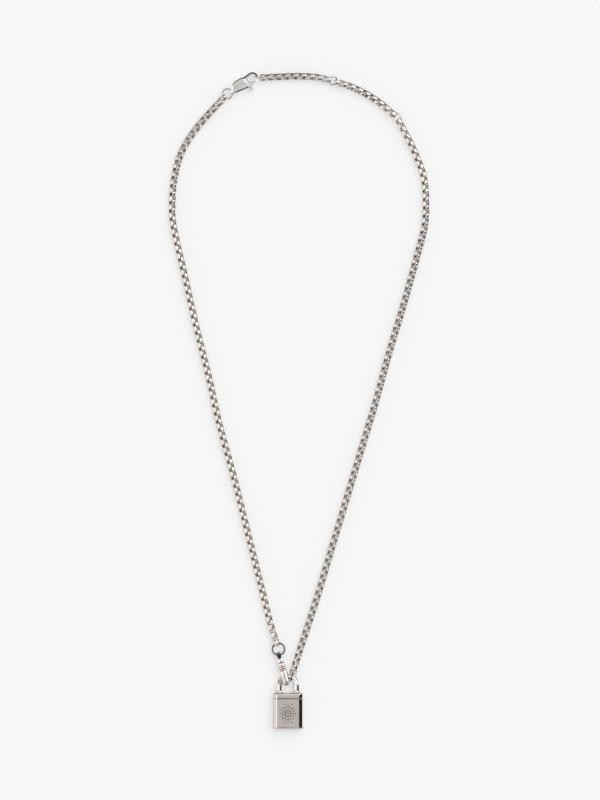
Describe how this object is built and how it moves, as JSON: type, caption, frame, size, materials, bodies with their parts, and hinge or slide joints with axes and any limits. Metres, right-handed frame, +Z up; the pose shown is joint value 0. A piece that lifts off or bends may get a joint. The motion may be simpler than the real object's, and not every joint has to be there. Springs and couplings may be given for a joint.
{
  "type": "padlock necklace",
  "caption": "Round box chain necklace with a lobster clasp, size rings, an enamelled strap loop and a small rectangular padlock pendant.",
  "frame": {"origin": "bottom centre of the necklace as it lies on its back", "axes": "+Y from the padlock towards the clasp, +X to the wearer's left as seen from above, +Z up from the surface that it lies on"},
  "size_m": [0.1042, 0.2627, 0.0044],
  "materials": {
    "chain_steel": "polished stainless steel, slightly worn on the links",
    "ring_steel": "polished stainless steel wire",
    "polished_steel": "mirror-polished stainless steel",
    "brushed_steel": "fine vertical satin grain on the faces, polished edges",
    "red_enamel": "glossy fired enamel"
  },
  "bodies": {
    "necklace": {"chain_left": "chain_steel", "chain_right": "chain_steel", "chain_size_a": "chain_steel", "chain_size_b": "chain_steel", "ring_tail": "ring_steel", "ring_hook": "ring_steel", "ring_size_a": "ring_steel", "ring_size_b": "ring_steel", "ring_front": "ring_steel", "ring_lock": "ring_steel", "strap_loop": "polished_steel", "enamel_panel": "red_enamel", "lock_body": "brushed_steel", "shackle": "polished_steel", "clasp_body": "brushed_steel", "clasp_pin": "polished_steel"},
    "lever": {"clasp_lever": "polished_steel"}
  },
  "joints": [
    {"name": "lever_turn", "type": "hinge", "parent": "necklace", "child": "lever", "pos_m": [-0.01971, 0.12662, 0.00175], "axis": [0, 0, 1], "range_deg": [0, 22], "stiffness_Nm_per_rad": 0.006, "springref_deg": -17.19}
  ]
}
